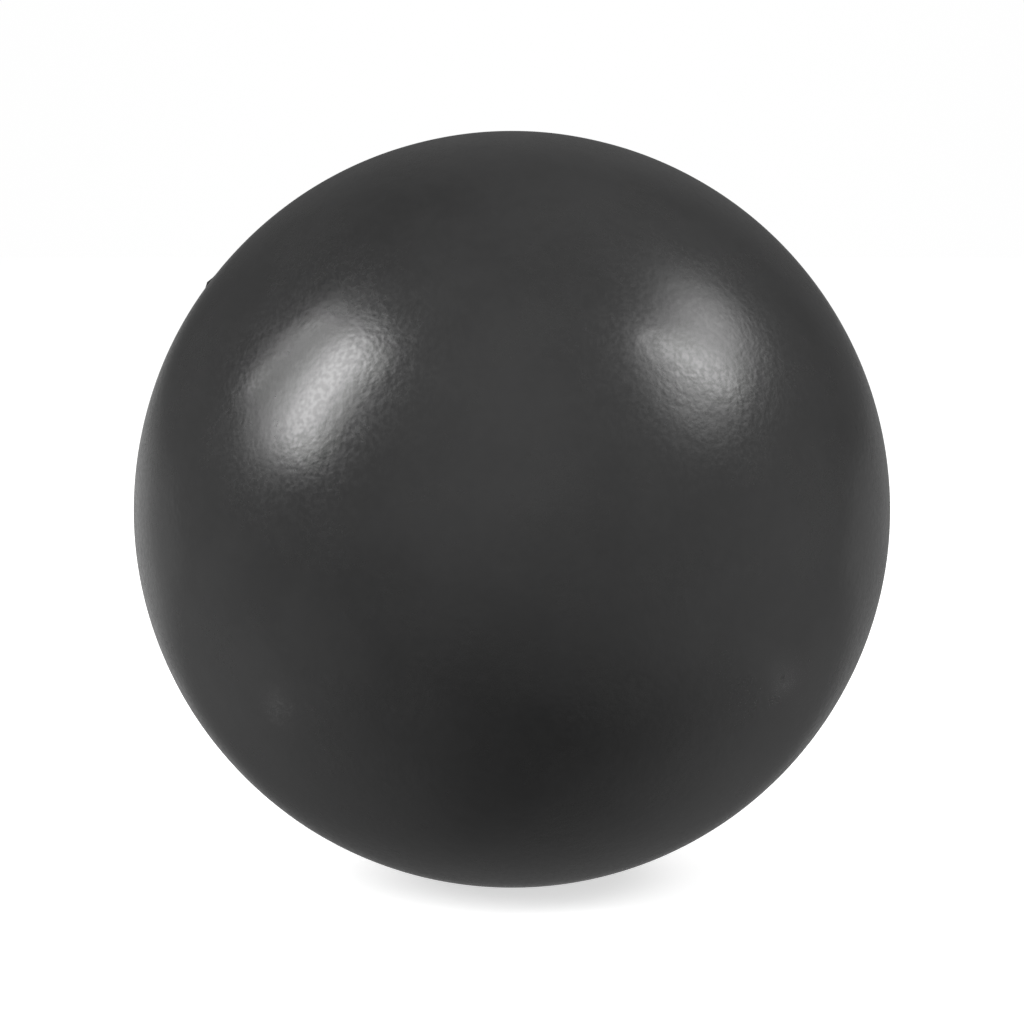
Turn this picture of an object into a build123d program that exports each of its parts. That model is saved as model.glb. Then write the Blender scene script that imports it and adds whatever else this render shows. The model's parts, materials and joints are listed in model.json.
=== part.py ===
"""Watchmaker's friction ball for opening screw-down case backs.

A hollow, inflated rubber ball. Two moulded half shells are bonded edge to edge to make
the core, a one-piece tacky cover is moulded over them, and a self-sealing needle valve
sits in a dish at the back.

Millimetres. The origin is the ball's centre, +Z is up, and +Y is the valve's axis, out of
its mouth. The ball rests on a small flat at its lowest point, as soft balls do.
"""

import os
from math import sqrt

from build123d import *

# The ball
BALL_DIAMETER = 65.0
COVER_THICKNESS = 1.6
CORE_WALL = 3.4
REST_FLAT_DIAMETER = 8.0  # where the ball's own weight flattens it on a table

# The bonded joint between the two halves of the core
SEAM_THICKNESS = 0.3
SEAM_BEAD_RADIUS = 0.6  # cement squeezed out inside the ball

# The dish that keeps the valve below the ball's surface
DISH_RADIUS = 40.0
DISH_DEPTH = 0.75
DISH_EDGE_ROUND = 1.5

# The valve seat, vulcanised to the inside of the rear half
NOSE_DIAMETER = 8.4
NOSE_SHY = 0.15  # how far the nose stops below the dish's floor at its own edge
PAD_DIAMETER = 19.0
PAD_THICKNESS = 1.8
PAD_BEVEL = 1.2  # its inner rim is thinned so that it bends with the shell
STEM_DIAMETER = 8.0
STEM_LENGTH = 11.0  # from the core's inner wall into the cavity
STEM_END_ROUND = 1.2
SEAT_BORE_DIAMETER = 3.8
COUNTERBORE_DIAMETER = 5.6
COUNTERBORE_DEPTH = 1.2

# The valve insert, a plug that closes by itself behind the inflating needle
INSERT_SHY = 0.1  # how far its head lies below the nose
BARB_DIAMETER = 5.2
BARB_TIP_DIAMETER = 2.6
BARB_LENGTH = 3.2
NEEDLE_HOLE_DIAMETER = 2.05
NEEDLE_HOLE_DEPTH = 6.0
LEAD_IN_DIAMETER = 3.2
LEAD_IN_DEPTH = 0.6

EDGE_BREAK = 0.2  # chamfer on small moulded edges

# Worked out from the sizes above
BALL_RADIUS = BALL_DIAMETER / 2
CORE_RADIUS = BALL_RADIUS - COVER_THICKNESS
CAVITY_RADIUS = CORE_RADIUS - CORE_WALL
REST_HEIGHT = sqrt(BALL_RADIUS**2 - (REST_FLAT_DIAMETER / 2) ** 2)
DISH_FLOOR = BALL_RADIUS - DISH_DEPTH  # distance of the dish's floor from the centre
NOSE_TOP = DISH_FLOOR + (NOSE_DIAMETER / 2) ** 2 / (2 * DISH_RADIUS) - NOSE_SHY
INSERT_TOP = NOSE_TOP - INSERT_SHY
COUNTERBORE_FLOOR = NOSE_TOP - COUNTERBORE_DEPTH
STEM_END = CAVITY_RADIUS - STEM_LENGTH


def along_y(profile):
    """A solid turned about the valve axis from a closed profile in the XY plane."""
    return revolve(profile, axis=Axis.Y)


def outline(*points):
    """A closed face in the XY plane, where x is the distance from the valve axis."""
    return make_face(Polyline(*points, close=True))


def shaft(diameter, low, high):
    """A cylinder on the valve axis, from low to high along +Y."""
    return along_y(outline((0, low), (diameter / 2, low), (diameter / 2, high), (0, high)))


def hollow_ball(outer_radius, inner_radius):
    """A spherical shell, with its poles on the valve axis."""
    poles_on_y = Rotation(-90, 0, 0)
    return poles_on_y * Sphere(outer_radius) - poles_on_y * Sphere(inner_radius)


def half_space(low, high):
    """A block wider than the ball, between two distances along +Y."""
    width = 2 * BALL_DIAMETER
    return Pos(0, (low + high) / 2, 0) * Box(width, high - low, width)


def grip_cover():
    """The tacky outer cover, one piece, with the valve's dish and mouth in its back."""
    cover = hollow_ball(BALL_RADIUS, CORE_RADIUS)
    cover -= Pos(0, DISH_FLOOR + DISH_RADIUS, 0) * Rotation(-90, 0, 0) * Sphere(DISH_RADIUS)
    dish_edge = (
        cover.edges()
        .filter_by(GeomType.CIRCLE)
        .filter_by(lambda edge: edge.center().Y > CORE_RADIUS)
        .sort_by(SortBy.LENGTH)[-1:]
    )
    cover = fillet(dish_edge, DISH_EDGE_ROUND)
    cover -= shaft(NOSE_DIAMETER, 0, BALL_RADIUS)
    mouth_edge = (
        cover.edges()
        .filter_by(GeomType.CIRCLE)
        .filter_by(lambda edge: abs(edge.radius - NOSE_DIAMETER / 2) < 1e-4)
        .sort_by(Axis.Y)[-1:]
    )
    cover = chamfer(mouth_edge, EDGE_BREAK)
    below_table = Pos(0, 0, -REST_HEIGHT - BALL_RADIUS) * Box(BALL_DIAMETER, BALL_DIAMETER, BALL_DIAMETER)
    return cover - below_table


def front_core_half():
    """The plain half of the core, away from the valve."""
    shell = hollow_ball(CORE_RADIUS, CAVITY_RADIUS)
    return shell & half_space(-BALL_DIAMETER, -SEAM_THICKNESS / 2)


def rear_core_half():
    """The half of the core that the valve seat goes through."""
    shell = hollow_ball(CORE_RADIUS, CAVITY_RADIUS)
    shell &= half_space(SEAM_THICKNESS / 2, BALL_DIAMETER)
    return shell - shaft(NOSE_DIAMETER, 0, BALL_RADIUS)


def core_seam():
    """The rubber cement that bonds the halves, with the bead it leaves inside."""
    joint = hollow_ball(CORE_RADIUS, CAVITY_RADIUS)
    joint &= half_space(-SEAM_THICKNESS / 2, SEAM_THICKNESS / 2)
    bead = Rotation(90, 0, 0) * Torus(CAVITY_RADIUS, SEAM_BEAD_RADIUS)
    bead &= Rotation(-90, 0, 0) * Sphere(CAVITY_RADIUS)
    return joint + bead


def valve_seat():
    """The boot that holds the insert: a nose to the outside, a pad and a stem inside."""
    nose = shaft(NOSE_DIAMETER, CAVITY_RADIUS - PAD_THICKNESS, NOSE_TOP)
    nose = chamfer(nose.edges().group_by(Axis.Y)[-1], EDGE_BREAK)
    pad = hollow_ball(CAVITY_RADIUS, CAVITY_RADIUS - PAD_THICKNESS)
    pad &= shaft(PAD_DIAMETER, 0, BALL_RADIUS)
    pad = chamfer(pad.edges().filter_by(GeomType.CIRCLE).group_by(Axis.Y)[0], PAD_BEVEL)
    stem = shaft(STEM_DIAMETER, STEM_END, CAVITY_RADIUS - PAD_THICKNESS / 2)
    stem = fillet(stem.edges().group_by(Axis.Y)[0], STEM_END_ROUND)
    seat = nose + pad + stem
    seat -= shaft(SEAT_BORE_DIAMETER, 0, BALL_RADIUS)
    return seat - shaft(COUNTERBORE_DIAMETER, COUNTERBORE_FLOOR, BALL_RADIUS)


def valve_insert():
    """The self-sealing plug: a head, a shank, a barb behind the stem and a needle hole."""
    plug = along_y(
        outline(
            (0, STEM_END - BARB_LENGTH),
            (BARB_TIP_DIAMETER / 2, STEM_END - BARB_LENGTH),
            (BARB_DIAMETER / 2, STEM_END - EDGE_BREAK),
            (BARB_DIAMETER / 2, STEM_END),
            (SEAT_BORE_DIAMETER / 2, STEM_END),
            (SEAT_BORE_DIAMETER / 2, COUNTERBORE_FLOOR),
            (COUNTERBORE_DIAMETER / 2, COUNTERBORE_FLOOR),
            (COUNTERBORE_DIAMETER / 2, INSERT_TOP - EDGE_BREAK),
            (COUNTERBORE_DIAMETER / 2 - EDGE_BREAK, INSERT_TOP),
            (0, INSERT_TOP),
        )
    )
    hole_end = INSERT_TOP - LEAD_IN_DEPTH - NEEDLE_HOLE_DEPTH
    needle_hole = along_y(
        outline(
            (0, hole_end),
            (NEEDLE_HOLE_DIAMETER / 2, hole_end),
            (NEEDLE_HOLE_DIAMETER / 2, INSERT_TOP - LEAD_IN_DEPTH),
            (LEAD_IN_DIAMETER / 2, INSERT_TOP),
            (0, INSERT_TOP),
        )
    )
    return plug - needle_hole


PIECES = {
    "grip_cover": grip_cover,
    "front_core_half": front_core_half,
    "rear_core_half": rear_core_half,
    "core_seam": core_seam,
    "valve_seat": valve_seat,
    "valve_insert": valve_insert,
}

os.makedirs("parts", exist_ok=True)
for name, make_piece in PIECES.items():
    export_step(make_piece(), f"parts/{name}.step")
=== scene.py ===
"""Looks for a watchmaker's case opening friction ball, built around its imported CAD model.

Metres, in the CAD frame: the origin is the ball's centre, +Z is up and +Y is the valve's
axis, out of its mouth. The outer cover, the valve's nose and its insert get finer meshes of
the CAD shapes. The sealed inner pieces keep their CAD meshes.
"""

import json
from math import asin, atan, atan2, cos, degrees, exp, hypot, pi, radians, sin, sqrt, tan

import bmesh
import bpy
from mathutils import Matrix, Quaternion, Vector, noise


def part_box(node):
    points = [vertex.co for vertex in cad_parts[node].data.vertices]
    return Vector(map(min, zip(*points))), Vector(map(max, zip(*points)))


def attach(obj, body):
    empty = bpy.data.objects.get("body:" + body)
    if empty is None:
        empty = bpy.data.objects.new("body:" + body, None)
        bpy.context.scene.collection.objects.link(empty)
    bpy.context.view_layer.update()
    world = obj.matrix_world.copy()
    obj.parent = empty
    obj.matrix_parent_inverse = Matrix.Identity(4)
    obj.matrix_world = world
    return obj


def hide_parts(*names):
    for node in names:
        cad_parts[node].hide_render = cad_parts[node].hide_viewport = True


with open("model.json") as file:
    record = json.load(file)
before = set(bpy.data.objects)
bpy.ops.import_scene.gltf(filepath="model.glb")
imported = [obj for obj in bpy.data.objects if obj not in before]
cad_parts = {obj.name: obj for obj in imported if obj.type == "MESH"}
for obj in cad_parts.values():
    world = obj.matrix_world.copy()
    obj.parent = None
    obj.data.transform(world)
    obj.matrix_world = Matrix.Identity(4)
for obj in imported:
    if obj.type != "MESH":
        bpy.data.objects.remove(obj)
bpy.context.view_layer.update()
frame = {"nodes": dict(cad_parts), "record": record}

MM = 0.001
NEARLY_ZERO = 1e-6  # keeps a division by a length safe

# ---------------------------------------------------------------- sizes, in millimetres
BALL_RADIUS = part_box("grip_cover")[1].x / MM
CORE_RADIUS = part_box("front_core_half")[1].x / MM
FLOOR_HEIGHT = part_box("grip_cover")[0].z / MM
NOSE_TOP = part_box("valve_seat")[1].y / MM
STEM_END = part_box("valve_seat")[0].y / MM
INSERT_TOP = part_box("valve_insert")[1].y / MM
BARB_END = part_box("valve_insert")[0].y / MM

DISH_RADIUS = 40.0
DISH_DEPTH = 0.75
DISH_EDGE_ROUND = 1.5
NOSE_RADIUS = 4.2
PAD_RADIUS = 9.5
PAD_THICKNESS = 1.8
PAD_BEVEL = 1.2
CORE_WALL = 3.4
STEM_RADIUS = 4.0
STEM_END_ROUND = 1.2
SEAT_BORE_RADIUS = 1.9
COUNTERBORE_RADIUS = 2.8
COUNTERBORE_DEPTH = 1.2
BARB_RADIUS = 2.6
BARB_TIP_RADIUS = 1.3
LEAD_IN_RADIUS = 1.6
LEAD_IN_DEPTH = 0.6
EDGE_BREAK = 0.2

needle_port = next(m for m in frame["record"]["mounts"] if m["name"] == "needle_port")
NEEDLE_RADIUS = needle_port["dims"]["r_mm"]
NEEDLE_DEPTH = needle_port["dims"]["length_mm"]

# ---------------------------------------------------------------- mesh helpers


def noise_at(x, y, z, wavelength):
    """Smooth noise from about -1 to 1 whose lumps are about a wavelength apart."""
    return noise.noise(Vector((x, y, z)) / wavelength)


def direction_of(azimuth, elevation):
    """A direction from the ball. Azimuth 0 is at the camera, 90 at +X, in degrees."""
    a = radians(azimuth)
    e = radians(elevation)
    return Vector((sin(a) * cos(e), -cos(a) * cos(e), sin(e)))


def arc(cx, cy, radius, start, end, steps):
    """Points on an arc in a profile's plane, both ends included, angles in degrees."""
    points = []
    for k in range(steps + 1):
        a = radians(start + (end - start) * k / steps)
        points.append((cx + radius * cos(a), cy + radius * sin(a)))
    return points


def mesh_piece(name, points, faces, sharp_angle=None):
    """A shaded mesh object from points in millimetres, with its faces turned outward."""
    mesh = bpy.data.meshes.new(name)
    mesh.from_pydata([tuple(c * MM for c in p) for p in points], [], faces)
    shape = bmesh.new()
    shape.from_mesh(mesh)
    bmesh.ops.recalc_face_normals(shape, faces=shape.faces)
    for face in shape.faces:
        face.smooth = True
    shape.to_mesh(mesh)
    shape.free()
    if sharp_angle:
        mesh.set_sharp_from_angle(angle=radians(sharp_angle))
    piece = bpy.data.objects.new(name, mesh)
    bpy.context.scene.collection.objects.link(piece)
    return piece


# ---------------------------------------------------------------- the outer cover

FACE_EDGE = pi / 4  # angle from the middle of a cube's face to its edge
GRID = 88  # quads along each edge of the ball's cube grid
SEAM_ROWS = (0.05, 0.1, 0.15, 0.22, 0.32, 0.5, 0.75)  # extra rows beside the parting line
BELT_ROWS = 42  # even rows on each side of the parting line
REAR_RINGS = 44
LINING_BELT_ROWS = 10
LINING_RINGS = 10
DISH_EDGE_STEPS = 6
DISH_STEPS = 4
LIP_STEPS = 5
MOUTH_STEPS = 4

RIPPLE_LONG = (11.0, 0.020)  # wavelength and height of the moulding's slow ripples
RIPPLE_SHORT = (4.5, 0.005)
RIPPLE_OFFSET = 40.0  # takes the ball away from the noise's own origin
PARTING_HEIGHT = 0.030  # the trimmed flash along the parting line
PARTING_WIDTH = 0.20
PARTING_WEAR = (0.8, 0.4)  # middle and spread of the share that the trimming left
PARTING_LEAST = 0.4
PARTING_LOOP = (6.0, 1.3)  # radius and wavelength of the noise that the wear follows
NIB_ANGLE = 143.0  # where a nib of flash was left, seen from the front, from +X
NIB_LENGTH = 0.45
NIB_WIDTH = 0.30
NIB_HEIGHT = 0.20
NIB_REACH = 4  # the nib is left out past this many lengths
FLAT_BLEND = 0.05  # how softly the rest flat runs into the ball


def dish_profile():
    """The cover's wall from the ball's surface in to the mouth, as (radius, y) points."""
    dish_centre = BALL_RADIUS - DISH_DEPTH + DISH_RADIUS
    reach = DISH_RADIUS + DISH_EDGE_ROUND
    inner = BALL_RADIUS - DISH_EDGE_ROUND
    y = (inner**2 - reach**2 + dish_centre**2) / (2 * dish_centre)
    r = sqrt(inner**2 - y**2)
    start = degrees(atan2(y, r))
    end = degrees(atan2(dish_centre - y, -r))
    points = arc(r, y, DISH_EDGE_ROUND, start, end, DISH_EDGE_STEPS)
    lip = NOSE_RADIUS + EDGE_BREAK
    rim = points[-1][0]
    for k in range(1, DISH_STEPS):
        radius = rim + (lip - rim) * k / DISH_STEPS
        points.append((radius, dish_centre - sqrt(DISH_RADIUS**2 - radius**2)))
    lip_y = dish_centre - sqrt(DISH_RADIUS**2 - lip**2)
    points += arc(lip, lip_y - EDGE_BREAK, EDGE_BREAK, 90, 180, LIP_STEPS)
    wall_foot = sqrt(CORE_RADIUS**2 - NOSE_RADIUS**2)
    wall_top = points[-1][1]
    for k in range(1, MOUTH_STEPS + 1):
        points.append((NOSE_RADIUS, wall_top + (wall_foot - wall_top) * k / MOUTH_STEPS))
    return points


def perimeter(grid):
    """Points round the edge of a cube's face, evenly spaced by angle, as (x, z)."""
    step = [tan(FACE_EDGE * (2 * k / grid - 1)) for k in range(grid)]
    return (
        [(s, -1.0) for s in step]
        + [(1.0, s) for s in step]
        + [(-s, 1.0) for s in step]
        + [(-1.0, -s) for s in step]
    )


def ball_grid(grid, rows, rings, first_angle):
    """A ball's surface of square faces, open round the valve.

    A square patch covers the front, a belt goes round the sides, and rings run from the
    belt in to a circle round the valve, first_angle from its axis. Returns unit directions,
    faces, and the indices of the last ring."""

    def at(i, k):
        return i * (grid + 1) + k

    directions = []
    for i in range(grid + 1):
        for k in range(grid + 1):
            x = tan(FACE_EDGE * (2 * i / grid - 1))
            z = tan(FACE_EDGE * (2 * k / grid - 1))
            directions.append(Vector((x, -1, z)).normalized())
    faces = [
        (at(i, k), at(i + 1, k), at(i + 1, k + 1), at(i, k + 1))
        for i in range(grid)
        for k in range(grid)
    ]
    ring = (
        [at(k, 0) for k in range(grid)]
        + [at(grid, k) for k in range(grid)]
        + [at(grid - k, grid) for k in range(grid)]
        + [at(0, grid - k) for k in range(grid)]
    )
    edge = perimeter(grid)
    layers = [[Vector((x, tan(FACE_EDGE * w), z)).normalized() for x, z in edge] for w in rows]
    for step in range(1, rings + 1):
        t = step / rings
        layer = []
        for x, z in edge:
            around = atan2(z, x)
            outer = atan(hypot(x, z))
            corner = (outer - FACE_EDGE) * (1 - t) ** 2
            tilt = FACE_EDGE * (1 - t) + first_angle * t + corner
            layer.append(Vector((sin(tilt) * cos(around), cos(tilt), sin(tilt) * sin(around))))
        layers.append(layer)
    for layer in layers:
        first = len(directions)
        directions += layer
        faces += bridge(ring, first)
        ring = [first + k for k in range(4 * grid)]
    return directions, faces, ring


def bridge(ring, first):
    """Faces from a ring of indices to the next ring, whose indices run on from first."""
    count = len(ring)
    return [
        (ring[k], ring[(k + 1) % count], first + (k + 1) % count, first + k)
        for k in range(count)
    ]


def belt_rows(count, extra=()):
    """Rows from the front patch to the rear rings, each from -1 to 1, finer at the seam."""
    half = [0.0] + [e / BALL_RADIUS / FACE_EDGE for e in extra]
    last = half[-1]
    half += [last + (1 - last) * k / count for k in range(1, count + 1)]
    return [-w for w in reversed(half[1:-1])] + half


def skin_height(direction):
    """How far the moulded skin stands off the true ball, in millimetres."""
    p = direction * BALL_RADIUS
    height = 0.0
    for wavelength, size in (RIPPLE_LONG, RIPPLE_SHORT):
        height += size * noise_at(p.x + RIPPLE_OFFSET, p.y, p.z, wavelength)
    around = atan2(p.z, p.x)
    loop, wavelength = PARTING_LOOP
    middle, spread = PARTING_WEAR
    left = middle + spread * noise_at(loop * cos(around), 0, loop * sin(around), wavelength)
    height += PARTING_HEIGHT * max(left, PARTING_LEAST) * exp(-((p.y / PARTING_WIDTH) ** 2))
    nib = radians(NIB_ANGLE)
    along = (direction - Vector((cos(nib), 0, sin(nib)))).length * BALL_RADIUS
    if along < NIB_REACH * NIB_LENGTH:
        height += NIB_HEIGHT * exp(-((along / NIB_LENGTH) ** 4)) * exp(-((p.y / NIB_WIDTH) ** 2))
    return height


def rest_on_floor(z):
    """A height raised to the rest flat, with a soft edge."""
    over = z - FLOOR_HEIGHT
    if over > FLAT_BLEND:
        return z
    if over < -FLAT_BLEND:
        return FLOOR_HEIGHT
    return FLOOR_HEIGHT + (over + FLAT_BLEND) ** 2 / (4 * FLAT_BLEND)


def make_cover():
    """The grip cover: skin, dish, mouth wall and the plain lining that lies on the core."""
    profile = dish_profile()
    edge_angle = atan2(*profile[0])
    directions, faces, ring = ball_grid(
        GRID, belt_rows(BELT_ROWS, SEAM_ROWS), REAR_RINGS, edge_angle
    )
    points = []
    for d in directions:
        p = d * (BALL_RADIUS + skin_height(d))
        points.append((p.x, p.y, rest_on_floor(p.z)))
    around = [atan2(z, x) for x, z in perimeter(GRID)]
    for radius, y in profile[1:]:
        first = len(points)
        points += [(radius * cos(a), y, radius * sin(a)) for a in around]
        faces += bridge(ring, first)
        ring = [first + k for k in range(4 * GRID)]
    mouth_angle = asin(NOSE_RADIUS / CORE_RADIUS)
    lining, lining_faces, lining_ring = ball_grid(
        GRID, belt_rows(LINING_BELT_ROWS), LINING_RINGS, mouth_angle
    )
    first = len(points)
    points += [tuple(d * CORE_RADIUS) for d in lining]
    own = {i: i + first for i in range(len(lining))}
    for theirs, ours in zip(lining_ring, ring):
        own[theirs] = ours
    faces += [tuple(own[i] for i in reversed(f)) for f in lining_faces]
    piece = mesh_piece("grip_cover_skin", points, faces)
    drop_loose(piece)
    return piece


def drop_loose(piece):
    """Removes points that no face uses."""
    shape = bmesh.new()
    shape.from_mesh(piece.data)
    bmesh.ops.delete(shape, geom=[v for v in shape.verts if not v.link_faces], context="VERTS")
    bmesh.ops.recalc_face_normals(shape, faces=shape.faces)
    shape.to_mesh(piece.data)
    shape.free()


# ---------------------------------------------------------------- the valve

VALVE_SHARP_ANGLE = 40  # degrees, where the turned pieces keep a crease
SEAT_SEGMENTS = 128
INSERT_SEGMENTS = 96
ROUND_STEPS = 4

# The seat's small roundings, and the radii where its curved faces get another point
BORE_EDGE_ROUND = 0.15
STEM_FOOT_ROUND = 0.50
PAD_BEVEL_ROUND = 0.30
PAD_RIM_ROUND = 0.10
PAD_RIM_HEIGHT = 0.35
NOSE_FOOT_ROUND = 0.15
NOSE_EDGE_ROUND = 0.28
COUNTERBORE_EDGE_ROUND = 0.10
PAD_MIDDLE = 6.2
WALL_STOPS = (7.8, 6.0)

# The insert's head, needle hole and barb
CROWN = 0.09  # how much the head's face falls towards its edge
CROWN_STEPS = 8
HEAD_ROUND = 0.25
HEAD_ROUND_STEPS = 5
LEAD_IN_ROUND = 0.12
LEAD_IN_ROUND_STEPS = 3
HOLE_ROWS = 6
HOLE_END_DEPTH = 0.25  # the hole ends in a shallow point, as its core pin does
HOLE_END_RING = (0.25, 0.12)
THROAT_BELOW = 0.05
THROAT_ABOVE = 0.04
BARB_EDGE = 0.15
BARB_EDGE_EASE = 0.06
BARB_TIP_EASE = 0.10


def turned(name, profile, segments, closed=True):
    """A piece turned about the valve axis from (radius, y) points.

    A closed profile makes a ring. An open one starts and ends on the axis."""
    points = []
    faces = []
    rings = []
    for radius, y in profile:
        first = len(points)
        if radius == 0:
            points.append((0, y, 0))
            rings.append([first] * segments)
            continue
        for k in range(segments):
            a = 2 * pi * k / segments
            points.append((radius * cos(a), y, radius * sin(a)))
        rings.append([first + k for k in range(segments)])
    pairs = list(zip(rings, rings[1:]))
    if closed:
        pairs.append((rings[-1], rings[0]))
    for low, high in pairs:
        for k in range(segments):
            n = (k + 1) % segments
            corners = dict.fromkeys((low[k], low[n], high[n], high[k]))
            faces.append(tuple(corners))
    return mesh_piece(name, points, faces, sharp_angle=VALVE_SHARP_ANGLE)


def eased(corners):
    """A closed profile with its corners rounded, from (point, rounding radius) pairs."""
    out = []
    count = len(corners)
    for i, (corner, radius) in enumerate(corners):
        here = Vector(corner)
        if radius == 0:
            out.append(tuple(here))
            continue
        before = (Vector(corners[i - 1][0]) - here).normalized()
        after = (Vector(corners[(i + 1) % count][0]) - here).normalized()
        half = before.angle(after) / 2
        run = radius / tan(half)
        centre = here + (before + after).normalized() * (radius / sin(half))
        start = here + before * run - centre
        end = here + after * run - centre
        turn = start.angle(end)
        for k in range(ROUND_STEPS + 1):
            t = k / ROUND_STEPS
            mixed = start * sin((1 - t) * turn) + end * sin(t * turn)
            out.append(tuple(centre + mixed / sin(turn)))
    return out


def make_seat():
    """The valve seat: nose, pad inside the core, stem, bore and counterbore."""
    cavity = CORE_RADIUS - CORE_WALL
    counterbore_floor = NOSE_TOP - COUNTERBORE_DEPTH

    def on_pad(radius):
        return radius, sqrt((cavity - PAD_THICKNESS) ** 2 - radius**2)

    def on_wall(radius):
        return radius, sqrt(cavity**2 - radius**2)

    corners = [
        ((SEAT_BORE_RADIUS, STEM_END), BORE_EDGE_ROUND),
        ((STEM_RADIUS, STEM_END), STEM_END_ROUND),
        (on_pad(STEM_RADIUS), STEM_FOOT_ROUND),
        (on_pad(PAD_MIDDLE), 0),
        (on_pad(PAD_RADIUS - PAD_BEVEL), PAD_BEVEL_ROUND),
        ((PAD_RADIUS, on_wall(PAD_RADIUS)[1] - PAD_RIM_HEIGHT), PAD_RIM_ROUND),
        (on_wall(PAD_RADIUS), PAD_RIM_ROUND),
    ]
    corners += [(on_wall(radius), 0) for radius in WALL_STOPS]
    corners += [
        (on_wall(NOSE_RADIUS), NOSE_FOOT_ROUND),
        ((NOSE_RADIUS, NOSE_TOP), NOSE_EDGE_ROUND),
        ((COUNTERBORE_RADIUS, NOSE_TOP), COUNTERBORE_EDGE_ROUND),
        ((COUNTERBORE_RADIUS, counterbore_floor), 0),
        ((SEAT_BORE_RADIUS, counterbore_floor), 0),
    ]
    return turned("valve_seat_moulding", eased(corners), SEAT_SEGMENTS)


def make_insert():
    """The self-sealing insert: crowned head, needle hole with its lead-in, shank and barb."""
    throat = INSERT_TOP - LEAD_IN_DEPTH
    hole_floor = throat - NEEDLE_DEPTH
    counterbore_floor = NOSE_TOP - COUNTERBORE_DEPTH
    face_start = LEAD_IN_RADIUS + LEAD_IN_ROUND
    face_end = COUNTERBORE_RADIUS - HEAD_ROUND
    ring_radius, ring_depth = HOLE_END_RING
    profile = [
        (0, hole_floor - HOLE_END_DEPTH),
        (ring_radius, hole_floor - ring_depth),
        (NEEDLE_RADIUS, hole_floor),
    ]
    for k in range(1, HOLE_ROWS):
        profile.append((NEEDLE_RADIUS, hole_floor + NEEDLE_DEPTH * k / HOLE_ROWS))
    profile += [
        (NEEDLE_RADIUS, throat - THROAT_BELOW),
        (NEEDLE_RADIUS + THROAT_ABOVE, throat + THROAT_ABOVE),
    ]
    profile += arc(
        face_start, INSERT_TOP - LEAD_IN_ROUND, LEAD_IN_ROUND, 150, 90, LEAD_IN_ROUND_STEPS
    )
    for k in range(1, CROWN_STEPS):
        t = k / CROWN_STEPS
        profile.append((face_start + (face_end - face_start) * t, INSERT_TOP - CROWN * t**2))
    profile += arc(face_end, INSERT_TOP - CROWN - HEAD_ROUND, HEAD_ROUND, 90, 0, HEAD_ROUND_STEPS)
    profile += [
        (COUNTERBORE_RADIUS, counterbore_floor),
        (SEAT_BORE_RADIUS, counterbore_floor),
        (SEAT_BORE_RADIUS, (NOSE_TOP + STEM_END) / 2),
        (SEAT_BORE_RADIUS, STEM_END),
        (BARB_RADIUS, STEM_END),
        (BARB_RADIUS, STEM_END - BARB_EDGE),
        (BARB_RADIUS - BARB_EDGE_EASE, STEM_END - 2 * BARB_EDGE),
        (BARB_TIP_RADIUS + BARB_TIP_EASE, BARB_END + BARB_TIP_EASE),
        (BARB_TIP_RADIUS - BARB_TIP_EASE, BARB_END),
        (0, BARB_END),
    ]
    return turned("valve_insert_moulding", profile, INSERT_SEGMENTS, closed=False)


# ---------------------------------------------------------------- materials


class Nodes:
    """A node tree under construction."""

    def __init__(self, tree):
        self.tree = tree
        tree.nodes.clear()

    def node(self, kind, **settings):
        """Adds a node with the given settings."""
        made = self.tree.nodes.new(kind)
        for key, value in settings.items():
            setattr(made, key, value)
        return made

    def link(self, source, target):
        self.tree.links.new(source, target)

    def feed(self, socket, value):
        """Sets a socket to a number, or links it to another socket."""
        if isinstance(value, bpy.types.NodeSocket):
            self.link(value, socket)
        else:
            socket.default_value = value

    def math(self, operation, a, b=0.0):
        made = self.node("ShaderNodeMath", operation=operation)
        self.feed(made.inputs[0], a)
        self.feed(made.inputs[1], b)
        return made.outputs[0]

    def spread(self, value, low, high, to_low=0.0, to_high=1.0):
        """Maps low..high to to_low..to_high, smoothly and clamped."""
        made = self.node("ShaderNodeMapRange", interpolation_type="SMOOTHSTEP")
        self.feed(made.inputs["Value"], value)
        made.inputs["From Min"].default_value = low
        made.inputs["From Max"].default_value = high
        made.inputs["To Min"].default_value = to_low
        made.inputs["To Max"].default_value = to_high
        return made.outputs["Result"]

    def along(self, place, axis):
        """How far a point or direction lies along an axis."""
        made = self.node("ShaderNodeVectorMath", operation="DOT_PRODUCT")
        self.link(place, made.inputs[0])
        made.inputs[1].default_value = axis
        return made.outputs["Value"]


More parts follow.
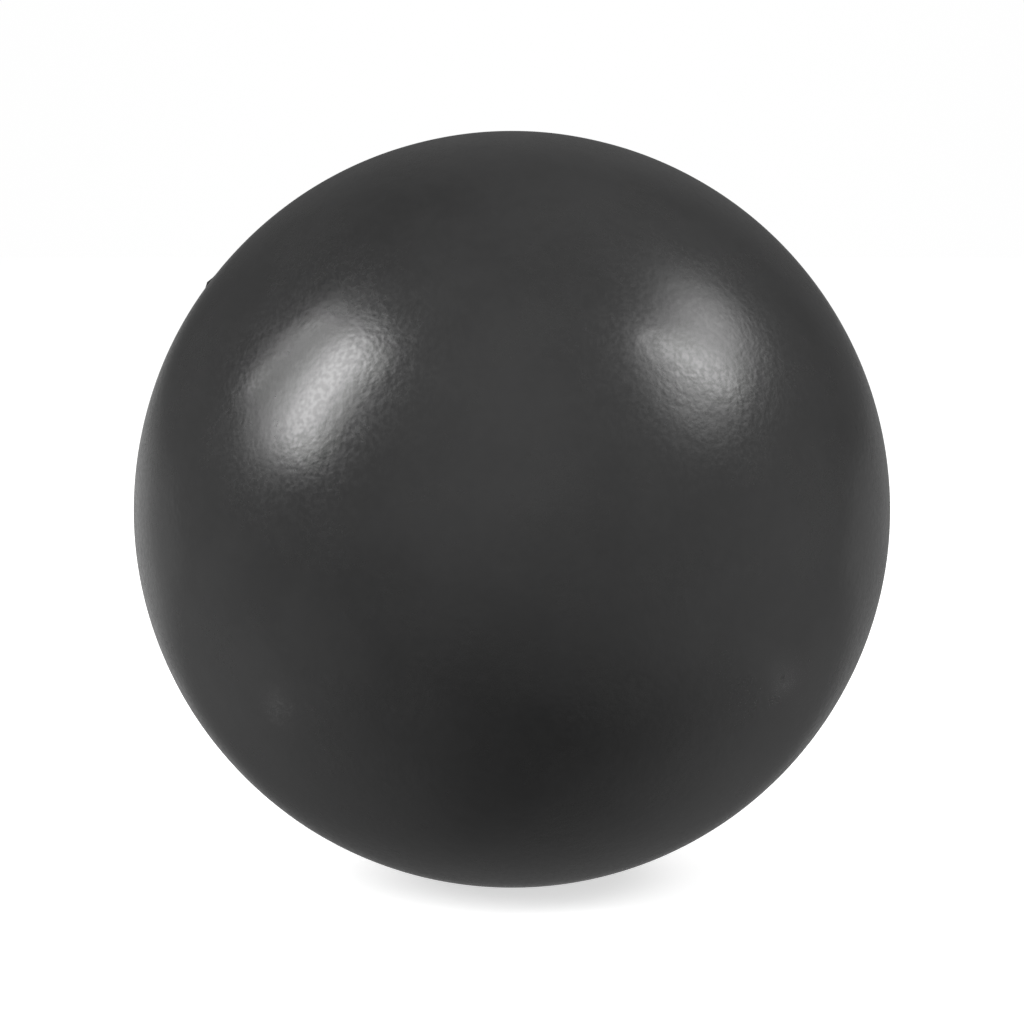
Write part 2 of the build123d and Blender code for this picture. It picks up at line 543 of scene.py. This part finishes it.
class Look(Nodes):
    """A material: a Principled shader with textures placed by the piece's own coordinates."""

    def __init__(self, name):
        self.material = bpy.data.materials.new(name)
        self.material.use_nodes = True
        super().__init__(self.material.node_tree)
        self.shader = self.node("ShaderNodeBsdfPrincipled")
        output = self.node("ShaderNodeOutputMaterial")
        self.link(self.shader.outputs[0], output.inputs["Surface"])
        self.place = self.node("ShaderNodeTexCoord").outputs["Object"]

    def noise(self, wavelength_mm, detail, roughness, shift=0.0):
        """Noise from 0 to 1, its lumps about a wavelength apart."""
        made = self.node("ShaderNodeTexNoise")
        made.inputs["Scale"].default_value = 1 / (wavelength_mm * MM)
        made.inputs["Detail"].default_value = detail
        made.inputs["Roughness"].default_value = roughness
        place = self.place
        if shift:
            moved = self.node("ShaderNodeVectorMath", operation="ADD")
            self.link(place, moved.inputs[0])
            moved.inputs[1].default_value = (shift, shift, shift)
            place = moved.outputs[0]
        self.link(place, made.inputs["Vector"])
        return made.outputs["Fac"]

    def mix_colour(self, factor, a, b):
        made = self.node("ShaderNodeMix", data_type="RGBA")
        self.feed(made.inputs[0], factor)
        made.inputs[6].default_value = (*a, 1)
        made.inputs[7].default_value = (*b, 1)
        return made.outputs[2]

    def bump(self, height, distance_mm, below=None):
        """A bump whose height of 1 stands distance_mm off the surface."""
        made = self.node("ShaderNodeBump")
        made.inputs["Strength"].default_value = 1.0
        made.inputs["Distance"].default_value = distance_mm * MM
        self.link(height, made.inputs["Height"])
        if below is not None:
            self.link(below, made.inputs["Normal"])
        return made.outputs["Normal"]

    def wear(self, colour, roughness, normal=None):
        """Gives the shader its colour, roughness and relief."""
        self.feed(self.shader.inputs["Base Color"], colour)
        self.feed(self.shader.inputs["Roughness"], roughness)
        if normal is not None:
            self.link(normal, self.shader.inputs["Normal"])

    def dress(self, piece):
        piece.data.materials.clear()
        piece.data.materials.append(self.material)


# The grip rubber's skin. Sizes and heights are in millimetres.
SKIN_DARK = (0.0085, 0.0085, 0.0086)
SKIN_LIGHT = (0.0125, 0.0125, 0.0126)
SKIN_IOR = 1.5
GRAIN = 0.45
GRAIN_HEIGHT = 0.015
COARSE_GRAIN_SHARE = 0.6  # of a grain twice as coarse, beside the fine one
GRAIN_STRENGTH = (0.5, 1.15)  # in its faint and strong patches
SMOOTH_PATCH = (-34, 24)  # azimuth and elevation of the place where the grain is faintest
SMOOTH_PATCH_EDGES = (0.970, 0.995)  # cosines of the angles where it starts and is complete
SMOOTH_PATCH_STRENGTH = 0.5
BLOTCH = 2.2
BLOTCH_HEIGHT = 0.014
POLISH = (0.215, 0.25)  # roughness in its shinier and duller areas
MOTTLE = 0.36
MOTTLE_ROUGHNESS = 0.033


def grip_rubber():
    """Tacky black rubber: an orange-peel grain, strong in some parts and faint in others."""
    look = Look("grip_rubber")
    tone = look.math("MULTIPLY", look.noise(9.0, detail=3.0, roughness=0.55, shift=0.31), 0.7)
    fine_tone = look.math("MULTIPLY", look.noise(0.9, detail=2.0, roughness=0.6, shift=0.11), 0.3)
    blend = look.spread(look.math("ADD", tone, fine_tone), low=0.36, high=0.64)
    colour = look.mix_colour(blend, SKIN_DARK, SKIN_LIGHT)

    patches = look.noise(11.0, detail=1.0, roughness=0.5, shift=0.05)
    strength = look.spread(patches, 0.38, 0.60, *GRAIN_STRENGTH)
    patch_axis = direction_of(*SMOOTH_PATCH) / (BALL_RADIUS * MM)
    nearness = look.along(look.place, patch_axis)
    smoothing = look.spread(nearness, *SMOOTH_PATCH_EDGES, 1.0, SMOOTH_PATCH_STRENGTH)
    strength = look.math("MULTIPLY", strength, smoothing)

    fine = look.noise(GRAIN, detail=0.8, roughness=0.5)
    coarse = look.noise(2 * GRAIN, detail=0.0, roughness=0.5, shift=0.07)
    grain = look.math("ADD", fine, look.math("MULTIPLY", coarse, COARSE_GRAIN_SHARE))
    normal = look.bump(look.noise(BLOTCH, detail=1.0, roughness=0.5, shift=0.2), BLOTCH_HEIGHT)
    normal = look.bump(look.math("MULTIPLY", grain, strength), GRAIN_HEIGHT, below=normal)

    polish = look.noise(6.0, detail=3.0, roughness=0.6, shift=0.4)
    polish = look.spread(polish, 0.3, 0.7, *POLISH)
    mottle = look.noise(MOTTLE, detail=0.0, roughness=0.5, shift=0.23)
    mottle = look.spread(mottle, 0.3, 0.7, -MOTTLE_ROUGHNESS, MOTTLE_ROUGHNESS)
    look.wear(colour, look.math("ADD", polish, mottle), normal)
    look.shader.inputs["IOR"].default_value = SKIN_IOR
    return look


def valve_rubber(name, dark, light, shiny, dull, tooth):
    """Moulded valve rubber with a fine matte tooth, whose size is in millimetres."""
    look = Look(name)
    tone = look.noise(2.2, detail=3.0, roughness=0.6)
    colour = look.mix_colour(look.spread(tone, low=0.35, high=0.65), dark, light)
    normal = look.bump(look.noise(tooth, detail=2.0, roughness=0.6), distance_mm=0.010)
    polish = look.noise(0.8, detail=2.0, roughness=0.5, shift=0.2)
    look.wear(colour, look.spread(polish, 0.3, 0.7, shiny, dull), normal)
    return look


def core_rubber():
    """The carcass: matte, a little brown, roughed up so that the cover bonds to it."""
    look = Look("core_rubber")
    tone = look.noise(5.0, detail=4.0, roughness=0.6)
    scratch = look.node("ShaderNodeTexWave", wave_type="BANDS", bands_direction="Y")
    scratch.inputs["Scale"].default_value = 900
    scratch.inputs["Distortion"].default_value = 6
    scratch.inputs["Detail"].default_value = 3
    look.link(look.place, scratch.inputs["Vector"])
    dark = (0.030, 0.028, 0.026)
    light = (0.052, 0.048, 0.043)
    colour = look.mix_colour(look.spread(tone, low=0.35, high=0.65), dark, light)
    normal = look.bump(scratch.outputs["Fac"], distance_mm=0.03)
    look.wear(colour, look.spread(tone, 0.3, 0.7, to_low=0.62, to_high=0.78), normal)
    return look


def seam_cement():
    """Dried rubber cement: amber brown with a soft gloss and a lumpy skin."""
    look = Look("seam_cement")
    tone = look.noise(3.0, detail=3.0, roughness=0.55)
    dark = (0.095, 0.062, 0.033)
    light = (0.150, 0.105, 0.060)
    colour = look.mix_colour(look.spread(tone, low=0.35, high=0.65), dark, light)
    normal = look.bump(look.noise(1.1, detail=2.0, roughness=0.5), distance_mm=0.08)
    look.wear(colour, look.spread(tone, 0.3, 0.7, to_low=0.30, to_high=0.45), normal)
    return look


# ---------------------------------------------------------------- the pieces

cover = make_cover()
seat = make_seat()
insert = make_insert()

grip_rubber().dress(cover)
valve_rubber(
    "seat_rubber",
    dark=(0.018, 0.018, 0.018),
    light=(0.027, 0.027, 0.027),
    shiny=0.39,
    dull=0.51,
    tooth=0.22,
).dress(seat)
valve_rubber(
    "insert_rubber",
    dark=(0.055, 0.055, 0.056),
    light=(0.075, 0.075, 0.077),
    shiny=0.33,
    dull=0.45,
    tooth=0.35,
).dress(insert)
carcass = core_rubber()
for node in ("front_core_half", "rear_core_half"):
    carcass.dress(frame["nodes"][node])
seam_cement().dress(frame["nodes"]["core_seam"])

for piece, node, slot in (
    (cover, "grip_cover", "grip_rubber"),
    (seat, "valve_seat", "seat_rubber"),
    (insert, "valve_insert", "insert_rubber"),
):
    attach(piece, "root")
    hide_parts(node)

# ---------------------------------------------------------------- the studio

# Azimuth 0 is at the camera and 90 at +X, and elevation is above the horizon, in degrees.
# Surroundings as broad lobes of light: azimuth, elevation, sharpness and brightness.
AMBIENT = 0.10
LOBES = (
    (30, 30, 1, 0.72),
    (-60, 0, 1, 0.36),
    (-90, 30, 2, 0.02),
    (0, -60, 4, 0.07),
    (90, -30, 4, 0.46),
    (-90, -30, 4, 0.28),
    (-90, 60, 4, 0.08),
    (60, 60, 4, 0.05),
    (125, 25, 4, 0.08),
    (180, 60, 4, 0.15),
    (180, -60, 4, 0.12),
)
# Softboxes: azimuth, elevation, width, height and tilt in degrees, the softness of their
# sides and ends, and brightness. The first three are one tall box on the left: its core,
# its dimmer cloth and its rim. The next three are the box on the right: its cloth, the lamp
# that shows through it and its spill. The last two are the pale table behind the ball.
SOFTBOXES = (
    (-67, 32, 10.5, 32.5, -12, 0.13, 0.09, 15.4),
    (-78, 31, 15, 33, -12, 0.13, 0.13, 4.6),
    (-93, 36, 3, 28, -15, 0.02, 0.03, 8.2),
    (78, 39.5, 36, 17.5, 24, 0.20, 0.18, 5.7),
    (71, 40, 26, 3, -47, 0.02, 0.09, 14.0),
    (78, 36, 44, 44, 0, 0.20, 0.20, 0.09),
    (180, -9, 120, 26, 0, 0.10, 0.10, 0.16),
    (-165, -6, 50, 16, 0, 0.10, 0.10, 0.26),
)
SIDE_DIMNESS = 0.28  # the backdrop is white before and behind the ball, and dimmer at its sides
LEAST_AHEAD = 0.05  # keeps a softbox from showing on the opposite side


class Surroundings(Nodes):
    """The world's light as a sum of simple shapes, by direction from the ball."""

    def __init__(self):
        world = bpy.data.worlds.new("studio")
        bpy.context.scene.world = world
        world.use_nodes = True
        super().__init__(world.node_tree)
        self.direction = self.node("ShaderNodeTexCoord").outputs["Generated"]
        self.total = AMBIENT

    def add(self, shape, brightness):
        self.total = self.math("ADD", self.total, self.math("MULTIPLY", shape, brightness))

    def add_lobe(self, azimuth, elevation, sharpness, brightness):
        facing = self.along(self.direction, direction_of(azimuth, elevation))
        facing = self.math("MAXIMUM", facing, 0.0)
        self.add(self.math("POWER", facing, sharpness), brightness)

    def band(self, value, width, softness):
        """1 inside a band that is width degrees across, with a soft fall at its edges."""
        half = tan(radians(width / 2))
        offset = self.math("ABSOLUTE", value)
        return self.spread(offset, half - softness, half + softness, to_low=1.0, to_high=0.0)

    def add_softbox(self, azimuth, elevation, width, height, tilt, soft_x, soft_y, brightness):
        centre = direction_of(azimuth, elevation)
        side = Vector((0, 0, 1)).cross(centre).normalized()
        top = centre.cross(side)
        turn = Quaternion(centre, radians(tilt))
        side.rotate(turn)
        top.rotate(turn)
        ahead = self.math("MAXIMUM", self.along(self.direction, centre), LEAST_AHEAD)
        x = self.math("DIVIDE", self.along(self.direction, side), ahead)
        y = self.math("DIVIDE", self.along(self.direction, top), ahead)
        panel = self.math("MULTIPLY", self.band(x, width, soft_x), self.band(y, height, soft_y))
        self.add(panel, brightness)

    def light(self):
        """Sends the sum to the world, with a plain pale backdrop for the camera itself."""
        backdrop = backdrop_tone(
            self,
            self.math("POWER", self.along(self.direction, (1, 0, 0)), 2.0),
            self.math("POWER", self.along(self.direction, (0, 1, 0)), 2.0),
        )
        seen = self.node("ShaderNodeLightPath").outputs["Is Camera Ray"]
        choose = self.node("ShaderNodeMix", data_type="FLOAT")
        self.link(seen, choose.inputs[0])
        self.link(self.total, choose.inputs[2])
        self.link(backdrop, choose.inputs[3])
        glow = self.node("ShaderNodeBackground")
        glow.inputs["Color"].default_value = (1, 1, 1, 1)
        self.link(choose.outputs[0], glow.inputs["Strength"])
        output = self.node("ShaderNodeOutputWorld")
        self.link(glow.outputs[0], output.inputs["Surface"])


def backdrop_tone(nodes, x_squared, y_squared):
    """The backdrop's brightness in a direction, from the squares of its x and y."""
    level = nodes.math("MAXIMUM", nodes.math("ADD", x_squared, y_squared), NEARLY_ZERO)
    side = nodes.math("DIVIDE", x_squared, level)
    return nodes.math("SUBTRACT", 1.0, nodes.math("MULTIPLY", side, SIDE_DIMNESS))


FLOOR_RADIUS = 4.0  # metres
FLOOR_SEGMENTS = 96
FLOOR_GLOW = 0.62
FLOOR_TONE = 0.8
FLOOR_FADE = 0.45  # metres from the ball where the floor is half way to the backdrop's tone


def floor_paint():
    """Pale matte paint near the ball, which runs into the backdrop's own tone far away."""
    look = Look("floor_paint")
    split = look.node("ShaderNodeSeparateXYZ")
    look.link(look.place, split.inputs[0])
    x_squared = look.math("POWER", split.outputs["X"], 2.0)
    y_squared = look.math("POWER", split.outputs["Y"], 2.0)
    squared = look.math("ADD", x_squared, y_squared)
    far = look.math("DIVIDE", squared, look.math("ADD", squared, FLOOR_FADE**2))
    backdrop = backdrop_tone(look, x_squared, y_squared)
    gain = look.math("MULTIPLY", far, look.math("SUBTRACT", backdrop, FLOOR_GLOW))
    near_tone = (FLOOR_TONE, FLOOR_TONE, FLOOR_TONE)
    look.wear(look.mix_colour(far, near_tone, (0.0, 0.0, 0.0)), roughness=1.0)
    look.shader.inputs["Specular IOR Level"].default_value = 0.0
    look.shader.inputs["Emission Color"].default_value = (1, 1, 1, 1)
    look.feed(look.shader.inputs["Emission Strength"], look.math("ADD", gain, FLOOR_GLOW))
    return look


def make_floor():
    """A plain pale floor under the ball. It catches the ball's shadow and doesn't light it."""
    mesh = bpy.data.meshes.new("floor")
    shape = bmesh.new()
    bmesh.ops.create_circle(
        shape, cap_ends=True, segments=FLOOR_SEGMENTS, radius=FLOOR_RADIUS
    )
    shape.to_mesh(mesh)
    shape.free()
    floor = bpy.data.objects.new("floor", mesh)
    bpy.context.scene.collection.objects.link(floor)
    floor.location.z = FLOOR_HEIGHT * MM
    floor_paint().dress(floor)
    floor.visible_diffuse = False
    floor.visible_glossy = False
    floor.visible_transmission = False
    floor.visible_shadow = False


LENS = 120.0
SENSOR_WIDTH = 36.0
CAMERA_ELEVATION = 5.0
CAMERA_SHIFT = -0.0025
CLIP_START = 0.01
CLIP_END = 20.0
BALL_SHARE = 0.739  # the ball's diameter as a share of the picture's width


def make_camera():
    """A long lens level with the ball, a little above it."""
    data = bpy.data.cameras.new("camera")
    data.lens = LENS
    data.sensor_width = SENSOR_WIDTH
    half_width = SENSOR_WIDTH / 2 / LENS
    distance = BALL_RADIUS * MM / sin(atan(BALL_SHARE * half_width))
    camera = bpy.data.objects.new("camera", data)
    bpy.context.scene.collection.objects.link(camera)
    back = direction_of(0, CAMERA_ELEVATION)
    camera.location = back * distance
    camera.rotation_mode = "QUATERNION"
    camera.rotation_quaternion = (-back).to_track_quat("-Z", "Y")
    data.shift_y = CAMERA_SHIFT
    data.clip_start = CLIP_START
    data.clip_end = CLIP_END
    bpy.context.scene.camera = camera


surroundings = Surroundings()
for lobe in LOBES:
    surroundings.add_lobe(*lobe)
for softbox in SOFTBOXES:
    surroundings.add_softbox(*softbox)
surroundings.light()
make_floor()
make_camera()
bpy.context.scene.view_settings.view_transform = "Standard"
